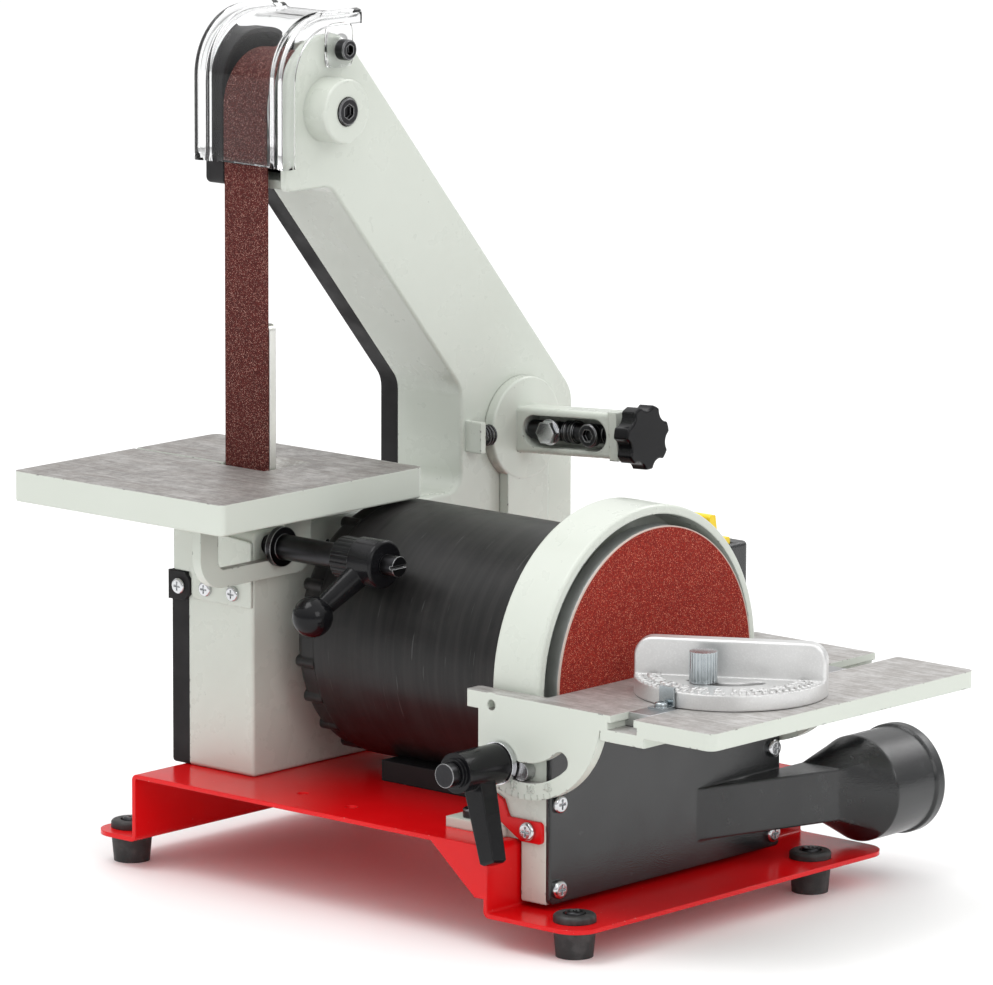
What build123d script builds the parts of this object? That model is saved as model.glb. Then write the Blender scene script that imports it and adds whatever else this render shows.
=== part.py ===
from build123d import *
import os
from math import cos, sin, radians

# Belt and disc sander: a 25.4 x 762 mm belt and a 127 mm disc on one motor shaft.
# Axes: +X runs along the motor shaft from the belt to the disc, +Y runs from the
# operator to the back, +Z is up.  Z = 0 is the plane the rubber feet stand on,
# X = 0 is the middle of the belt and Y = 0 is the working face of the belt.

# ---- driving dimensions, millimetres --------------------------------------
BELT_WIDTH = 25.4
BELT_THICK = 1.0
BELT_GAP = 0.3                    # belt to wheel faces
WHEEL_HALF = 13.0                 # half width of the three belt wheels
DRIVE_R, TOP_R, REAR_R = 45.0, 23.5, 24.0
MOTOR_Y, MOTOR_Z = DRIVE_R + BELT_THICK, 105.0
TOP_Y, TOP_Z = TOP_R + BELT_THICK, 335.0
REAR_Y, REAR_Z = 152.7, 178.0

FRAME_X0, FRAME_X1 = -13.5, 25.0  # belt housing casting
FRAME_BACK = 190.5
COVER_X0 = -24.5                  # outer face of the side cover
WALL = 4.0
RUN = 0.05                        # radial clearance of a running fit
FIT = 0.3                         # clearance between moving bodies

BASE_TOP = 43.8
FLANGE_TOP = 15.0
SHEET = 2.0
BASE_X0, BASE_X1 = -20.0, 189.0   # outside faces of the two side walls
BASE_Y0, BASE_Y1 = -52.6, 157.0
FLANGE_X0, FLANGE_X1 = -46.5, 240.0
FEET = [(-35.5, -37.0), (224.5, -37.0), (224.5, 120.0), (-35.5, 120.0)]
FOOT_R = 9.2

TABLE_X0, TABLE_X1 = -68.0, 58.5  # belt table
TABLE_Y0, TABLE_Y1 = -77.0, 51.5
TABLE_TOP, TABLE_THICK = 176.8, 13.6
TILT_Y, TILT_Z = -4.0, 160.0      # pin the belt table tilts about
STUD_Y, STUD_Z = -13.0, 147.0     # stud that locks the tilt
WEB_X0, WEB_X1 = 26.5, 31.5       # slotted web under the belt table

MOTOR_R = 57.0
MOTOR_X0, MOTOR_X1 = 50.0, 168.0
DISC_R = 63.5
DISC_FACE = 198.0
RING_R, RING_WALL = 72.2, 4.0
GUARD_X0, RING_X1, GUARD_X1 = 168.0, 194.0, 204.0
BOX_Y0, BOX_Y1 = -32.0, 120.0     # outside faces of the lower disc housing
SKIRT_X = 190.2

DTABLE_TOP, DTABLE_THICK = 106.0, 7.3
DTABLE_X0, DTABLE_X1 = 163.0, 299.0
DTABLE_Y0, DTABLE_Y1 = -37.5, 139.0
DTABLE_EDGE = 201.0               # edge beside the abrasive disc
DTILT_X, DTILT_Z = 196.0, 105.5   # axis the disc table tilts about
TRUNNION_R, TRUNNION_SLOT_R = 42.5, 31.0
LOCK_ANGLE = -114.0               # lock stud, measured about the tilt axis
LEVER_LEAN, LEVER_LONG = 22.0, 41.0  # front lever's angle off plumb, and length
REAR_LEAN = 95.0                  # rear lever's angle off plumb
SLOT_X = 250.25                   # middle of the miter slot
MITER_Y, MITER_LOCK = 33.5, 18.5  # miter pivot, and its lock stud ahead of it
MITER_R = 41.2
MITER_REST = 30.0                 # the miter head rests turned by this much
MITER_SWING = 45.0

PORT_X, PORT_Z, PORT_R = 224.5, 40.5, 24.6
PORT_Y0, PORT_Y1 = 152.0, 184.0
PLATE_THICK = 2.5
ARM_Y, ARM_Z = 152.0, 178.0       # tension arm channel
TRACK_Y = 150.8                   # tracking shaft, ahead of the channel's middle
TRACK_TILT = 3.6                  # the channel and its knob point up by this much
PIVOT_Y, PIVOT_Z = 154.0, 112.0   # tension arm pivot
STUD_R = 4.0

os.makedirs("parts", exist_ok=True)
nodes = {}


# ---- helpers -----------------------------------------------------------------
def block(x0, x1, y0, y1, z0, z1):
    return Pos((x0 + x1) / 2, (y0 + y1) / 2, (z0 + z1) / 2) * Box(x1 - x0, y1 - y0, z1 - z0)


def rod_x(x0, x1, y, z, r):
    return Pos((x0 + x1) / 2, y, z) * Rot(0, 90, 0) * Cylinder(r, x1 - x0)


def rod_y(y0, y1, x, z, r):
    return Pos(x, (y0 + y1) / 2, z) * Rot(90, 0, 0) * Cylinder(r, y1 - y0)


def rod_z(z0, z1, x, y, r):
    return Pos(x, y, (z0 + z1) / 2) * Cylinder(r, z1 - z0)


def ring_x(x0, x1, y, z, r_out, r_in):
    return rod_x(x0, x1, y, z, r_out) - rod_x(x0 - 1, x1 + 1, y, z, r_in)


def plate_x(points, radii, x0, x1):
    """Rounded outline given as (y, z), extruded from x0 to x1."""
    outline = FilletPolyline(*points, radius=radii, close=True)
    return extrude(Plane.YZ.offset(x0) * make_face(outline), x1 - x0)


def plate_y(points, radii, y0, y1):
    """Rounded outline given as (x, z), extruded from y0 to y1."""
    plane = Plane(origin=(0, y1, 0), x_dir=(1, 0, 0), z_dir=(0, -1, 0))
    outline = FilletPolyline(*points, radius=radii, close=True)
    return extrude(plane * make_face(outline), y1 - y0)


def plate_z(points, radii, z0, z1):
    """Rounded outline given as (x, y), extruded from z0 to z1."""
    outline = FilletPolyline(*points, radius=radii, close=True)
    return extrude(Plane.XY.offset(z0) * make_face(outline), z1 - z0)


def hull_x(circles, x0, x1):
    """Convex hull of circles (y, z, r), extruded from x0 to x1."""
    edges = [(Pos(y, z) * Circle(r)).edge() for y, z, r in circles]
    return extrude(Plane.YZ.offset(x0) * make_hull(edges), x1 - x0)


def cross_recess(radius, depth):
    """Cross-shaped drive recess cut down from z = 0."""
    arm = Pos(0, 0, -depth / 2) * Box(radius * 1.1, radius * 0.28, depth)
    return arm + Rot(0, 0, 90) * arm


def pan_screw(r_head, head, r_shank, length):
    """Pan head screw along +Z, head above z = 0."""
    body = Pos(0, 0, head / 2) * Cylinder(r_head, head)
    body = fillet(body.edges().filter_by(GeomType.CIRCLE).sort_by(Axis.Z)[-1], head * 0.55)
    body += Pos(0, 0, -length / 2) * Cylinder(r_shank, length)
    return body - Pos(0, 0, head) * cross_recess(r_head, head * 0.6)


def socket_screw(r_head, head, r_shank, length):
    """Cylinder head screw along +Z with a hexagon socket."""
    body = Pos(0, 0, head / 2) * Cylinder(r_head, head)
    body = chamfer(body.edges().filter_by(GeomType.CIRCLE).sort_by(Axis.Z)[-1], 0.5)
    body += Pos(0, 0, -length / 2) * Cylinder(r_shank, length)
    hexagon = extrude(RegularPolygon(r_head * 0.55, 6), -head * 0.6)
    return body - Pos(0, 0, head) * hexagon


def hex_bolt(radius, head, r_shank, length):
    """Hexagon head bolt along +Z."""
    body = extrude(RegularPolygon(radius, 6), head)
    return body + Pos(0, 0, -length / 2) * Cylinder(r_shank, length)


def facing(x, y, z, direction):
    """Placement that turns +Z to one of the axes and moves it to a point."""
    turns = {"+x": Rot(0, 90, 0), "-x": Rot(0, -90, 0), "+y": Rot(-90, 0, 0),
             "-y": Rot(90, 0, 0), "+z": Rot(0, 0, 0), "-z": Rot(180, 0, 0)}
    return Pos(x, y, z) * turns[direction]


def group(solids):
    return Compound(children=list(solids))


def clear(r_shank):
    """Hole radius that lets a fixed screw through without touching."""
    return r_shank + 0.1


# ---- base ----------------------------------------------------------------------
def make_base():
    section = [(FLANGE_X0, FLANGE_TOP - SHEET), (BASE_X0 + SHEET, FLANGE_TOP - SHEET),
               (BASE_X0 + SHEET, BASE_TOP - SHEET), (BASE_X1 - SHEET, BASE_TOP - SHEET),
               (BASE_X1 - SHEET, FLANGE_TOP - SHEET), (FLANGE_X1, FLANGE_TOP - SHEET),
               (FLANGE_X1, FLANGE_TOP), (BASE_X1, FLANGE_TOP), (BASE_X1, BASE_TOP),
               (BASE_X0, BASE_TOP), (BASE_X0, FLANGE_TOP), (FLANGE_X0, FLANGE_TOP)]
    bends = [0, 3, 1, 1, 3, 0, 0, 1, 3, 3, 1, 0]
    base = plate_y(section, bends, BASE_Y0, BASE_Y1)
    outer = [e for e in base.edges().filter_by(Axis.Z)
             if min(abs(e.center().X - FLANGE_X0), abs(e.center().X - FLANGE_X1)) < 0.1]
    base = fillet(outer, 12)
    gusset = [(BASE_X1 - 32, BASE_TOP - SHEET), (BASE_X1 - SHEET, BASE_TOP - SHEET),
              (BASE_X1 - SHEET, FLANGE_TOP + 6), (BASE_X1 - 7, FLANGE_TOP + 6)]
    base += plate_y(gusset, [0, 0, 0, 0], BASE_Y0, BASE_Y0 + SHEET)
    for x, y in FEET:
        base -= rod_z(FLANGE_TOP - 5, FLANGE_TOP + 5, x, y, 4.0)
    for x, y in [(62, -30), (95, -35)]:
        base -= rod_z(BASE_TOP - 5, BASE_TOP + 5, x, y, 2.6)
    for x, y in FRAME_BOLTS + GUARD_BOLTS + MOTOR_BOLTS:
        base -= rod_z(BASE_TOP - 5, BASE_TOP + 5, x, y, clear(3))
    return base


FRAME_BOLTS = [(4, -12), (4, 60), (4, 140)]
GUARD_BOLTS = [(160, -28), (160, 100)]
MOTOR_BOLTS = [(80, 22), (128, 22), (80, 70), (128, 70)]
nodes["base_plate"] = make_base()

feet, foot_screws = [], []
for fx, fy in FEET:
    body = Pos(fx, fy, (FLANGE_TOP - SHEET) / 2) * Cone(8.0, FOOT_R, FLANGE_TOP - SHEET)
    body -= rod_z(-1, 5, fx, fy, 4.5)
    body -= rod_z(4, 20, fx, fy, 2.1)
    cap = rod_z(FLANGE_TOP, FLANGE_TOP + 3.5, fx, fy, FOOT_R)
    cap = fillet(cap.edges().sort_by(Axis.Z)[-1], 1.6)
    cap += rod_z(FLANGE_TOP - SHEET, FLANGE_TOP, fx, fy, 3.9)
    cap -= rod_z(0, 30, fx, fy, 2.1)
    cap -= rod_z(FLANGE_TOP + 2, FLANGE_TOP + 5, fx, fy, 5.0)
    feet += [body, cap]
    foot_screws.append(facing(fx, fy, FLANGE_TOP + 2, "+z") * pan_screw(4.2, 2.6, 2.0, 12))
nodes["rubber_feet"] = group(feet)
nodes["foot_screws"] = group(foot_screws)

# ---- belt frame and side cover ---------------------------------------------------
FRAME_OUTLINE = [(-22.5, BASE_TOP), (-22.5, 153.6), (114, 153.6), (114, 200), (28, 300.5), (0, 300.5),
                 (0, 367.5), (36.5, 367.5), (FRAME_BACK, 190.5), (FRAME_BACK, 128), (156, 88), (156, BASE_TOP)]
FRAME_RADII = [2, 6, 8, 12, 10, 3, 24, 12, 16, 10, 8, 2]


def frame_body(inset, x0, x1):
    outline = FilletPolyline(*FRAME_OUTLINE, radius=FRAME_RADII, close=True)
    face = make_face(outline)
    if inset > 0:
        face = offset(face, -inset)
    return extrude(Plane.YZ.offset(x0) * face, x1 - x0)


LUG_Y = 120.5                     # face of the lug that the tension spring presses on
AXLE_HEAD_X = FRAME_X1 + 10.6     # floor of the counterbore for the top axle's head


def make_frame():
    frame = frame_body(0, FRAME_X0, FRAME_X1)
    frame = fillet(frame.faces().sort_by(Axis.X)[-1].outer_wire().edges(), 1.5)
    frame -= frame_body(WALL, FRAME_X0 - 1, FRAME_X1 - WALL)
    # open front of the head, mouth for the belt, and room at the belt's lower end
    frame -= block(FRAME_X0 - 1, FRAME_X1 - WALL, -5, 6, 296, 372)
    frame -= block(FRAME_X0 - 1, FRAME_X1 - WALL, 0, 42, 345, 372)
    frame -= block(FRAME_X0 - 1, FRAME_X1 - WALL, -12, 24, 147, 160)
    frame -= rod_x(FRAME_X0 - 1, FRAME_X1 - WALL, MOTOR_Y, MOTOR_Z, DRIVE_R + 1)
    # boss for the top axle, lug for the tension spring, raised rib on the arm
    boss = rod_x(FRAME_X1 - 1, FRAME_X1 + 13, TOP_Y, TOP_Z, 14.3)
    frame += fillet(boss.edges().sort_by(Axis.X)[-1], 1.2)
    frame += block(FRAME_X1 - 1, FRAME_X1 + 9.0, LUG_Y - 3.5, LUG_Y, 171, 185)
    frame -= rod_x(-20, 60, TOP_Y, TOP_Z, 5.0)
    frame -= rod_x(AXLE_HEAD_X, AXLE_HEAD_X + 5, TOP_Y, TOP_Z, 6.5)
    # slot for the rear wheel axle, pivot hole, table stud hole, shaft hole
    frame -= plate_x([(141, 171.5), (163, 171.5), (163, 184.5), (141, 184.5)], [6, 6, 6, 6],
                     FRAME_X1 - WALL - 1, FRAME_X1 + 1)
    frame -= rod_x(15, 30, PIVOT_Y, PIVOT_Z, STUD_R)
    frame -= rod_x(15, 30, STUD_Y, STUD_Z, STUD_R)
    frame -= rod_x(15, 30, MOTOR_Y, MOTOR_Z, 16)
    for y in (16, 26):
        frame -= rod_x(15, 30, y, 142, 2.0)
    for x, y in FRAME_BOLTS:
        frame -= rod_z(40, 50, x, y, clear(3))
    for x, z in PLATE_SCREWS:
        frame -= rod_y(-25, -15, x, z, clear(1.5))
    frame -= facing(FRAME_X1, GUARD_SCREW[0], GUARD_SCREW[1], "+x") * Cylinder(clear(2), 20)
    return frame


PLATE_SCREWS = [(-2.0, 125.0), (14.5, 125.0)]
GUARD_SCREW = (31.0, 361.0)
COVER_SCREWS = [(150, 60), (172, 150), (120, 240), (60, 318)]


def make_cover():
    cover = frame_body(0, COVER_X0, FRAME_X0)
    cover = fillet(cover.faces().sort_by(Axis.X)[0].outer_wire().edges(), 1.2)
    cover -= frame_body(2.2, COVER_X0 + 2.2, FRAME_X0 + 1)
    cover -= block(COVER_X0 + 2.2, FRAME_X0 + 1, -12, 24, 147, 160)
    cover -= block(COVER_X0 - 1, FRAME_X0 + 1, -30, -14, 131.0, 160)
    tab = [(COVER_X0, 118), (-15, 118), (-11.5, 121.5), (-11.5, 127.5), (-15, 131), (COVER_X0, 131)]
    cover += plate_y(tab, [0, 3, 2, 2, 3, 0], -24.3, -22.5)
    cover -= rod_y(-26, -18, -17.6, 124.5, clear(1.5))
    for y, z in COVER_SCREWS:
        cover -= rod_x(COVER_X0 - 1, COVER_X0 + 4, y, z, clear(1.5))
    return cover


nodes["belt_frame"] = make_frame()
nodes["side_cover"] = make_cover()
cover_screws = [facing(-17.6, -24.3, 124.5, "-y") * pan_screw(3.6, 2.0, 1.5, 5)]
for x, z in PLATE_SCREWS:
    cover_screws.append(facing(x, -23.7, z, "-y") * pan_screw(3.4, 2.0, 1.5, 4.5))
for y, z in COVER_SCREWS:
    cover_screws.append(facing(COVER_X0, y, z, "-x") * pan_screw(3.6, 2.0, 1.5, 6))
nodes["cover_screws"] = group(cover_screws)

sheet = [(-11.0, 119.5), (25.0, 119.5), (25.0, 149.0), (-21.6, 152.5), (-21.6, 131.4), (-11.0, 131.4)]
deflector = plate_y(sheet, [3, 1, 1, 1, 1, 1], -23.7, -22.5)
for x, z in PLATE_SCREWS:
    deflector -= rod_y(-26, -18, x, z, clear(1.5))
nodes["front_plate"] = deflector

nodes["base_bolts"] = group(
    facing(x, y, BASE_TOP - SHEET, "-z") * hex_bolt(5.5, 4, 3, 6) for x, y in FRAME_BOLTS + MOTOR_BOLTS)

# ---- platen ------------------------------------------------------------------------
platen = block(-13, 13, 1.3, 5.3, 126, 241)
platen = fillet([e for e in platen.edges().filter_by(Axis.Y) if e.center().Z > 240], 3)
nodes["platen"] = platen
bracket = block(-11, FRAME_X1 - WALL, 5.3, 8.3, 132, 149) + block(18, FRAME_X1 - WALL, 8.3, 32, 132, 149)
nodes["platen_bracket"] = bracket - rod_x(15, 22, 16, 142, clear(2)) - rod_x(15, 22, 26, 142, clear(2))
nodes["platen_screws"] = group(
    facing(18, y, 142, "-x") * pan_screw(3.2, 2.0, 1.9, 6.5) for y in (16, 26))

# ---- clear guard over the top wheel ---------------------------------------------------
GUARD_HALF = 28.0
GUARD_MID = 0.5


GUARD_SIDE = 2.2                  # wall thickness of the guard
GUARD_DEPTH = 6.5                 # depth of its side walls behind the front and top


def make_top_guard():
    x0, x1 = GUARD_MID - GUARD_HALF, GUARD_MID + GUARD_HALF
    outline = [(-5, 311), (-5 + GUARD_DEPTH, 311), (-5 + GUARD_DEPTH, 378 - GUARD_DEPTH),
               (44, 378 - GUARD_DEPTH), (44, 378), (-5, 378)]
    shell = plate_x(outline, [2, 2, 23.5, 1.5, 4, 30], x0, x1)
    inner = [(-2.8, 300), (20, 300), (20, 340), (60, 340), (60, 375.8), (-2.8, 375.8)]
    shell -= plate_x(inner, [0, 0, 0, 0, 0, 27.8], x0 + GUARD_SIDE, x1 - GUARD_SIDE)
    # lug that takes the screw, beside the head of the frame
    lug = [(23, 373), (39, 373), (39, 357), (35, 353), (27, 353), (23, 357)]
    shell += plate_x(lug, [0, 0, 3, 3, 3, 3], FRAME_X1 + 0.2, x1)
    shell += rod_x(FRAME_X1, x1 - 1, GUARD_SCREW[0], GUARD_SCREW[1], 4)
    return shell - rod_x(FRAME_X1 - 1, x1 + 4, GUARD_SCREW[0], GUARD_SCREW[1], clear(2))


nodes["top_guard"] = make_top_guard()

# ---- belt and wheels ------------------------------------------------------------------
WHEELS = [(MOTOR_Y, MOTOR_Z, DRIVE_R), (TOP_Y, TOP_Z, TOP_R), (REAR_Y, REAR_Z, REAR_R)]
half = BELT_WIDTH / 2
loop = hull_x([(y, z, r + BELT_THICK) for y, z, r in WHEELS], -half, half)
nodes["sanding_belt"] = loop - hull_x(WHEELS, -half - 1, half + 1)


def wheel(y, z, r, bore, web):
    rim = rod_x(-WHEEL_HALF, WHEEL_HALF, y, z, r - BELT_GAP)
    rim = fillet(rim.edges(), 1.0)
    rim -= ring_x(-WHEEL_HALF - 1, -web, y, z, r - 5, bore + 6)
    rim -= ring_x(web, WHEEL_HALF + 1, y, z, r - 5, bore + 6)
    return rim - rod_x(-30, 30, y, z, bore)


nodes["drive_wheel"] = wheel(MOTOR_Y, MOTOR_Z, DRIVE_R, 8.0, 4)
nodes["top_wheel"] = wheel(TOP_Y, TOP_Z, TOP_R, 9.5, 5)
nodes["rear_wheel"] = wheel(REAR_Y, REAR_Z, REAR_R, 9.5, 5)


def bearings(y, z):
    return group(ring_x(x, x + 6, y, z, 9.5, 5.0 + RUN) for x in (-11, 5))


nodes["top_wheel_bearings"] = bearings(TOP_Y, TOP_Z)
nodes["rear_wheel_bearings"] = bearings(REAR_Y, REAR_Z)
axle = rod_x(-12.8, AXLE_HEAD_X, TOP_Y, TOP_Z, 5.0)
axle += facing(AXLE_HEAD_X, TOP_Y, TOP_Z, "+x") * socket_screw(6.1, 3.4, 3.0, 2)
nodes["top_axle"] = axle

# ---- tension arm and tracking -----------------------------------------------------------
ARM_X0, ARM_X1 = 30.2, 91.0
tracked = Pos(ARM_X0, 0, ARM_Z) * Rot(0, -TRACK_TILT, 0) * Pos(-ARM_X0, 0, -ARM_Z)


def make_tension_arm():
    plate = rod_x(FRAME_X1 + FIT, ARM_X0 + 0.3, REAR_Y, REAR_Z, 23.5)
    plate = fillet(plate.edges().sort_by(Axis.X)[-1], 1.0)
    tongue = [(140, 168), (140, 100), (168, 100), (168, 168)]
    plate += plate_x(tongue, [0, 10, 10, 0], FRAME_X1 + FIT, ARM_X0)
    channel = block(ARM_X0 - 1.5, ARM_X1, ARM_Y - 6.5, ARM_Y + 6.5, ARM_Z - 10.5, ARM_Z + 10.5)
    channel = fillet(channel.edges().filter_by(Axis.X), 2.0)
    slot = [(34, ARM_Z - 7.3), (84, ARM_Z - 7.3), (84, ARM_Z + 7.3), (34, ARM_Z + 7.3)]
    channel -= plate_y(slot, [7.2, 7.2, 7.2, 7.2], ARM_Y - 10, ARM_Y + 4.5)
    channel += block(ARM_X1 - 5, ARM_X1, ARM_Y - 7.2, ARM_Y + 7.2, ARM_Z - 11.0, ARM_Z + 11.0)
    channel -= rod_x(ARM_X1 - 12, ARM_X1 + 2, TRACK_Y, ARM_Z, STUD_R + RUN)
    arm = plate + tracked * channel
    arm -= rod_x(20, 40, PIVOT_Y, PIVOT_Z, STUD_R + RUN)
    return arm - rod_x(20, 34.5, REAR_Y, REAR_Z, 5.0)


nodes["tension_arm"] = make_tension_arm()
nodes["rear_axle"] = rod_x(-12.8, 34.4, REAR_Y, REAR_Z, 5.0)
pivot = rod_x(15, ARM_X0 + 1, PIVOT_Y, PIVOT_Z, STUD_R)
pivot += rod_x(ARM_X0 + FIT, ARM_X0 + 5, PIVOT_Y, PIVOT_Z, 7.5)
nodes["tension_pivot_bolt"] = pivot
shaft = rod_x(36, 80.5, TRACK_Y, ARM_Z, 4.4)
shaft += rod_x(61, 63, TRACK_Y, ARM_Z, 5.4) + rod_x(57, 58.5, TRACK_Y, ARM_Z, 5.2)
for x in (50.5, 75):
    shaft -= rod_y(ARM_Y - 8, ARM_Y + 3, x, ARM_Z, 2.5)
set_screw = facing(75, TRACK_Y - 4.6, ARM_Z, "-y") * socket_screw(5.4, 3.4, 2.4, 7)
nodes["tracking_shaft"] = tracked * group([shaft, set_screw])
clamp_bolt = facing(50.5, TRACK_Y - 4.6, ARM_Z, "-y") * hex_bolt(5.4, 4.4, 2.4, 7)
clamp_bolt += facing(50.5, TRACK_Y - 4.6, ARM_Z, "-y") * Pos(0, 0, 0.6) * Cylinder(5.9, 1.2)
nodes["tracking_bolts"] = tracked * clamp_bolt


def make_star_knob(x0, y, z):
    star = Cylinder(14.6, 8)
    for i in range(7):
        star -= Rot(0, 0, (i + 0.5) * 360 / 7) * Pos(17.6, 0, 0) * Cylinder(5.4, 10)
    star = fillet(star.edges().filter_by(Axis.Z), 1.2)
    star = fillet(star.faces().sort_by(Axis.Z)[-1].outer_wire().edges(), 1.0)
    star = Pos(0, 0, 4) * star
    star -= Pos(0, 0, 0) * Cylinder(9.5, 3)
    star += Pos(0, 0, -0.5) * Cylinder(6.0, 9)
    star += Pos(0, 0, -7.6) * Cylinder(STUD_R, 15.4)
    return Pos(x0, y, z) * Rot(0, 90, 0) * star


nodes["tracking_knob"] = tracked * make_star_knob(96.5, TRACK_Y, ARM_Z)
SPRING_X, SPRING_Z, SPRING_R = 30.2, 178.0, 4.2
coil = Helix(pitch=1.9, height=7.2, radius=SPRING_R)
wire = sweep(Plane(coil @ 0, z_dir=coil % 0) * Circle(0.6), path=coil)
nodes["tension_spring"] = Pos(SPRING_X, LUG_Y + 0.8, SPRING_Z) * Rot(-90, 0, 0) * wire

# ---- belt table ---------------------------------------------------------------------------
MOUTH_HALF = 14.5


def make_belt_table():
    z0 = TABLE_TOP - TABLE_THICK
    top = block(TABLE_X0, TABLE_X1, TABLE_Y0, TABLE_Y1, z0, TABLE_TOP)
    top = fillet(top.edges().filter_by(Axis.Z), 3)
    top = fillet(top.faces().sort_by(Axis.Z)[0].outer_wire().edges(), 1.0)
    pocket = block(TABLE_X0 + 8, TABLE_X1 - 8, TABLE_Y0 + 8, -12, z0 - 1, TABLE_TOP - 6)
    top -= pocket
    top -= block(TABLE_X0 + 8, TABLE_X1 - 8, 26, TABLE_Y1 - 8, z0 - 1, TABLE_TOP - 6)
    mouth = [(-4, z0 - 0.01), (13.2, z0 - 0.01), (26.8, TABLE_TOP + 0.01), (-4, TABLE_TOP + 0.01)]
    top -= plate_x(mouth, [0, 0, 0, 0], -MOUTH_HALF, MOUTH_HALF)
    top -= block(TABLE_X0 - 1, -MOUTH_HALF + 1, -1.2, 0.8, z0 - 1, TABLE_TOP + 1)
    web = [(-62, z0 + 1), (-62, 133.5), (8, 133.5), (8, z0 + 1)]
    table = top + plate_x(web, [0, 14, 8, 0], WEB_X0, WEB_X1)
    table += block(WEB_X0, WEB_X1, -62, -12, z0, TABLE_TOP - 5)
    window = [(-51, 141.3), (-8.6, 141.3), (-8.6, z0 - 0.4), (-51, z0 - 0.4)]
    table -= plate_x(window, [4, 4, 3, 3], WEB_X0 - 1, WEB_X1 + 1)
    return table - rod_x(WEB_X0 - 1, WEB_X1 + 1, TILT_Y, TILT_Z, 3.0 + RUN)


nodes["belt_table"] = make_belt_table()
nodes["table_pivot_pin"] = rod_x(15, WEB_X1 - 0.2, TILT_Y, TILT_Z, 3.0)
HUB_X0, HUB_X1 = 70.5, 95.0       # ends of the clamping lever's hub
HUB_GRIP = 11.0                   # length of its ribbed part
head = rod_x(HUB_X1 + FIT, HUB_X1 + 8, STUD_Y, STUD_Z, 4.6)
head -= block(HUB_X1 + 6.5, HUB_X1 + 9, STUD_Y - 6, STUD_Y + 6, STUD_Z - 0.6, STUD_Z + 0.6)
nodes["table_lock_bolt"] = rod_x(15, HUB_X1 + 1, STUD_Y, STUD_Z, STUD_R) + head
washer = rod_x(WEB_X1 + FIT, WEB_X1 + 3.2, STUD_Y, STUD_Z, 8.8)
tube = washer + rod_x(WEB_X1 + 3.2, HUB_X0 - FIT, STUD_Y, STUD_Z, 5.6)
nodes["table_lock_spacer"] = tube - rod_x(20, 90, STUD_Y, STUD_Z, STUD_R)


def make_ball_lever():
    hub = rod_x(HUB_X0 + HUB_GRIP, HUB_X1, STUD_Y, STUD_Z, 10.6)
    hub = fillet(hub.edges().sort_by(Axis.X)[-1], 1.5)
    grip = rod_x(HUB_X0, HUB_X0 + HUB_GRIP + 1, STUD_Y, STUD_Z, 9.6)
    for i in range(24):
        a = radians(i * 15)
        grip -= rod_x(HUB_X0 - 1, HUB_X0 + HUB_GRIP, STUD_Y + 10 * cos(a), STUD_Z + 10 * sin(a), 0.7)
    end = Vector(75, -38, 125)
    start = Vector(87, STUD_Y, STUD_Z)
    axis = (end - start).normalized()
    along = (end - start).length
    arm = loft([Plane(origin=start, z_dir=axis) * Ellipse(6.4, 5.4),
                Plane(origin=start + axis * along, z_dir=axis) * Ellipse(4.4, 3.6)])
    lever = hub + grip + arm + Pos(*end) * Sphere(9.0)
    return lever - rod_x(50, 120, STUD_Y, STUD_Z, STUD_R + RUN)


nodes["belt_table_lever"] = make_ball_lever()

# ---- motor ------------------------------------------------------------------------------
shell = ring_x(MOTOR_X0, MOTOR_X1 - 4, MOTOR_Y, MOTOR_Z, MOTOR_R, MOTOR_R - 3)
shell += ring_x(MOTOR_X1 - 6, MOTOR_X1, MOTOR_Y, MOTOR_Z, MOTOR_R, 15)
shell -= rod_x(MOTOR_X1 - 7, MOTOR_X1 + 1, MOTOR_Y, MOTOR_Z, 15)
nodes["motor_housing"] = shell


def make_end_bell():
    bell = rod_x(38, MOTOR_X0, MOTOR_Y, MOTOR_Z, MOTOR_R - 1)
    bell = fillet(bell.edges().sort_by(Axis.X)[0], 5)
    bell += rod_x(FRAME_X1, 39, MOTOR_Y, MOTOR_Z, 34)
    for i in range(20):
        rib = rod_x(39.5, MOTOR_X0, 0, MOTOR_R - 2.4, 2.8)
        bell += Pos(0, MOTOR_Y, MOTOR_Z) * Rot(i * 18 + 9, 0, 0) * rib
    bell -= rod_x(42, MOTOR_X0 + 1, MOTOR_Y, MOTOR_Z, MOTOR_R - 5)
    return bell - rod_x(20, MOTOR_X0, MOTOR_Y, MOTOR_Z, 15)


nodes["motor_end_bell"] = make_end_bell()
nodes["motor_bearings"] = group([ring_x(27, 36, MOTOR_Y, MOTOR_Z, 15, 8 + RUN),
                                 ring_x(MOTOR_X1 - 10, MOTOR_X1 - 1, MOTOR_Y, MOTOR_Z, 15, 8 + RUN)])
nodes["motor_stator"] = ring_x(66, 138, MOTOR_Y, MOTOR_Z, MOTOR_R - 3.1, 30)
nodes["motor_rotor"] = ring_x(68, 136, MOTOR_Y, MOTOR_Z, 29.5, 8)
fan = ring_x(52, 55, MOTOR_Y, MOTOR_Z, 44, 8)
for i in range(8):
    blade = block(54.5, 62, -1.2, 1.2, 16, 43)
    fan += Pos(0, MOTOR_Y, MOTOR_Z) * Rot(i * 45, 0, 0) * blade
nodes["motor_fan"] = fan
nodes["motor_shaft"] = rod_x(-16, 193, MOTOR_Y, MOTOR_Z, 8)
nut = facing(-20.8, MOTOR_Y, MOTOR_Z, "+x") * extrude(RegularPolygon(8.5, 6), 4.8)
nodes["drive_wheel_nut"] = nut
saddle = block(70, 140, 12, 80, BASE_TOP, 53) - rod_x(60, 150, MOTOR_Y, MOTOR_Z, MOTOR_R)
for x, y in MOTOR_BOLTS:
    saddle -= rod_z(40, BASE_TOP + 6, x, y, clear(3))
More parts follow.
